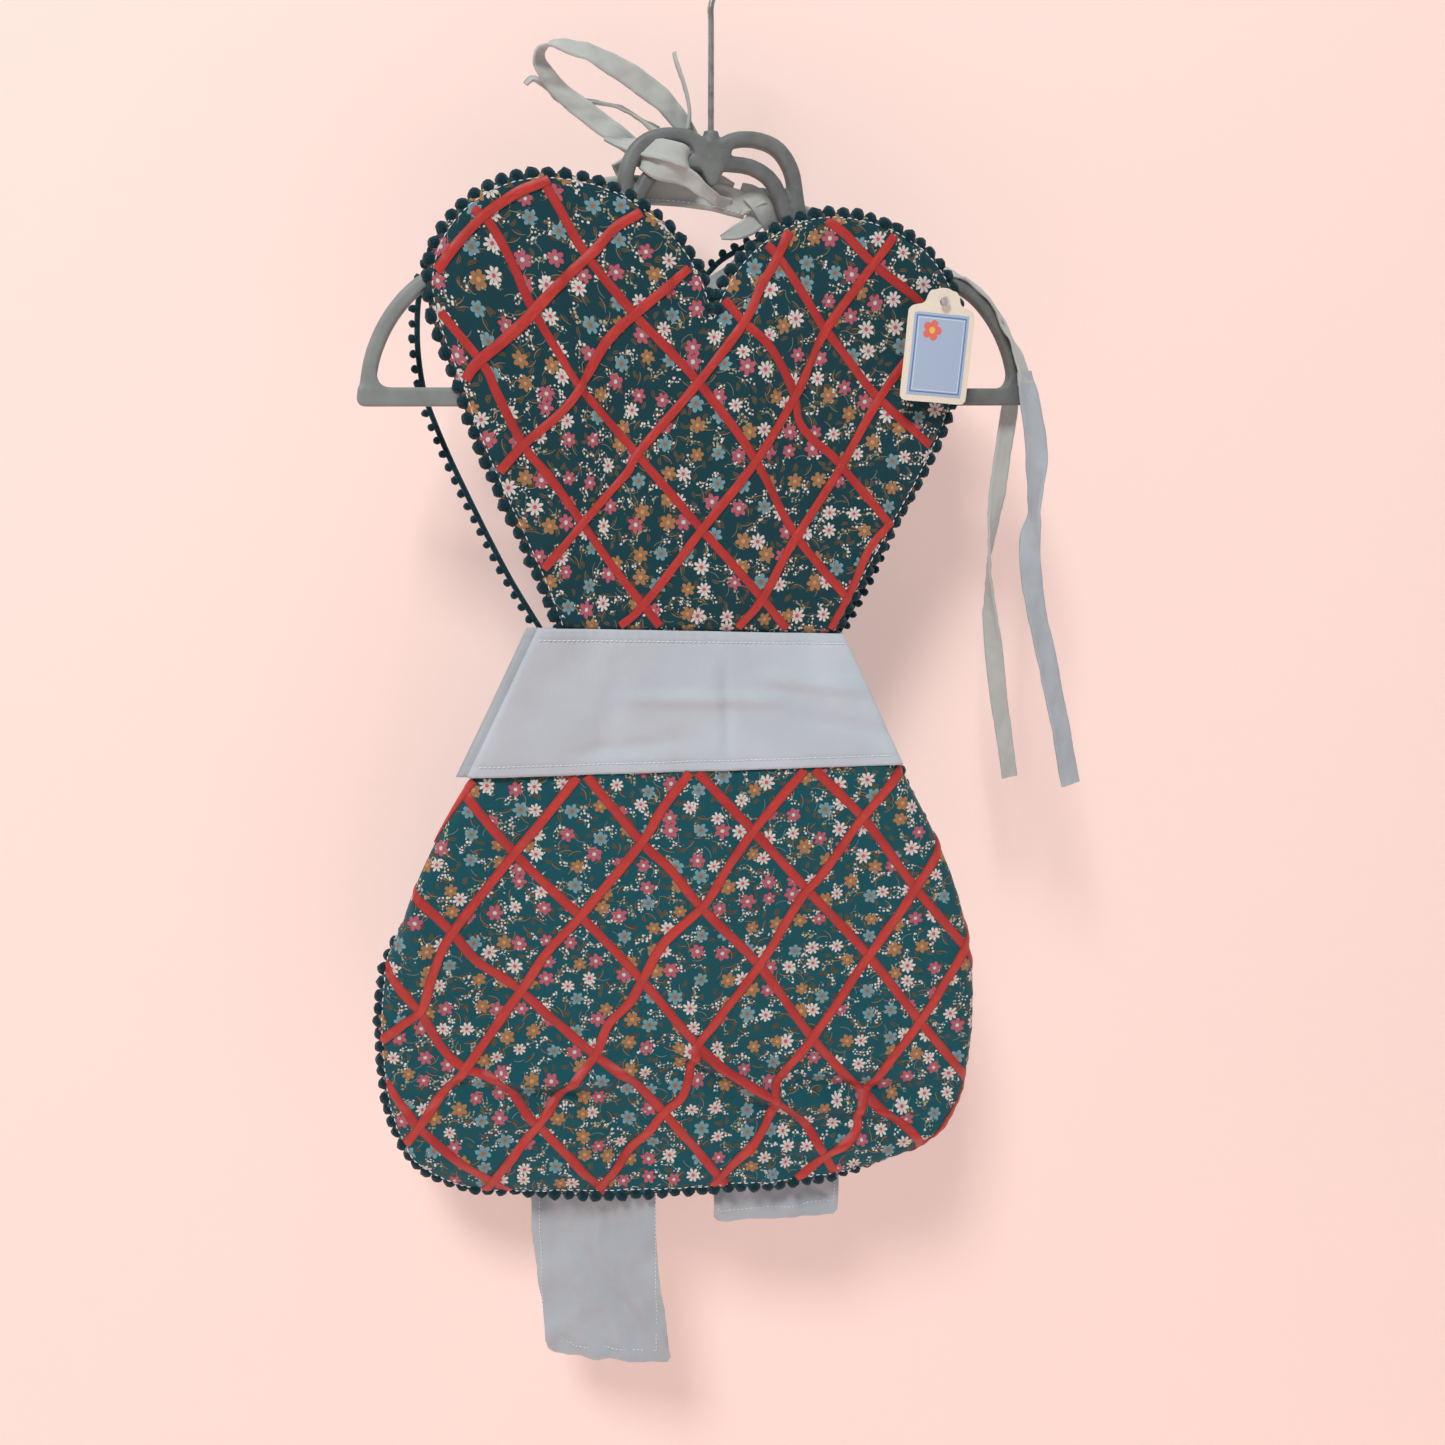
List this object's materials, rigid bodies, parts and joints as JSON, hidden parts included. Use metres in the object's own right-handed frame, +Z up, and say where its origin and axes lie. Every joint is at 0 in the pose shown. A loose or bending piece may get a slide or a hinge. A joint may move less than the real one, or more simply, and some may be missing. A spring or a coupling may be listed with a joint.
{
  "type": "apron on hanger",
  "caption": "Heart-bib halter apron with pompom edging and ribbon lattice, tied by its neck strap to a heart-topped plastic hanger with a swivel hook.",
  "frame": {"origin": "inside top of the hook, where it sits on a rail", "axes": "+Z up, -Y is the apron front, +X to the right of someone facing the front"},
  "size_m": [0.4903, 0.0818, 0.9667],
  "materials": {
    "plated_wire": "bright plated wire",
    "hanger_plastic": "satin moulded plastic",
    "print_cotton": "plain-weave cotton, small flower print",
    "grey_cotton": "plain-weave cotton",
    "satin_ribbon": "satin ribbon with lengthwise grain",
    "pompom_trim": "fuzzy yarn pompoms on tape",
    "clear_plastic": "clear moulded fastener",
    "tag_board": "uncoated card",
    "tag_print": "printed field on card"
  },
  "bodies": {
    "hook": {"hook_wire": "plated_wire", "hook_collar": "plated_wire"},
    "hanger": {"hanger_frame": "hanger_plastic", "neck_strap_right": "grey_cotton", "shoulder_strap": "grey_cotton"},
    "apron": {"bib_panel": "print_cotton", "bib_lining": "grey_cotton", "bib_trim": "pompom_trim", "bib_ribbons": "satin_ribbon", "skirt_panel": "print_cotton", "skirt_lining": "grey_cotton", "skirt_trim": "pompom_trim", "skirt_ribbons": "satin_ribbon", "waistband": "grey_cotton", "waistband_facing": "grey_cotton", "yoke_band_left": "pompom_trim", "yoke_band_right": "pompom_trim", "yoke_tab_left": "grey_cotton", "yoke_tab_right": "grey_cotton", "yoke_facing": "grey_cotton", "neck_strap_left": "grey_cotton", "neck_knot": "grey_cotton", "bow_loop_front": "grey_cotton", "bow_loop_back": "grey_cotton", "bow_end": "grey_cotton", "bow_end_upright": "grey_cotton", "strap_point": "grey_cotton", "waist_tie_left_root": "grey_cotton", "waist_tie_right_root": "grey_cotton", "tag_pin": "clear_plastic"},
    "tail_outer": {"neck_tail_outer": "grey_cotton"},
    "tail_inner": {"neck_tail_inner": "grey_cotton"},
    "tie_left": {"waist_tie_left": "grey_cotton"},
    "tie_right": {"waist_tie_right": "grey_cotton"},
    "tag": {"tag_card": "tag_board", "tag_label": "tag_print"}
  },
  "joints": [
    {"name": "hook_swivel", "type": "hinge", "parent": "hook", "child": "hanger", "pos_m": [0, 0, -0.131], "axis": [0, 0, 1], "continuous": true},
    {"name": "apron_swing", "type": "hinge", "parent": "hanger", "child": "apron", "pos_m": [0, 0.0098, -0.167], "axis": [1, 0, 0], "range_deg": [-8, 0]},
    {"name": "outer_tail_swing", "type": "hinge", "parent": "hanger", "child": "tail_outer", "pos_m": [0.206, -0.0118, -0.277], "axis": [1, 0, 0], "range_deg": [-30, 20]},
    {"name": "inner_tail_swing", "type": "hinge", "parent": "hanger", "child": "tail_inner", "pos_m": [0.208, 0.0098, -0.294], "axis": [1, 0, 0], "range_deg": [-20, 40]},
    {"name": "left_tie_swing", "type": "hinge", "parent": "apron", "child": "tie_left", "pos_m": [-0.078, 0.019, -0.523], "axis": [0.9135, -0.4067, 0], "range_deg": [0, 45]},
    {"name": "right_tie_swing", "type": "hinge", "parent": "apron", "child": "tie_right", "pos_m": [0.048, -0.001, -0.523], "axis": [0.989, -0.1478, 0], "range_deg": [0, 45]},
    {"name": "tag_swing", "type": "hinge", "parent": "apron", "child": "tag", "pos_m": [0.144, -0.02, -0.225], "axis": [1, 0, 0], "range_deg": [-25, 0]}
  ]
}
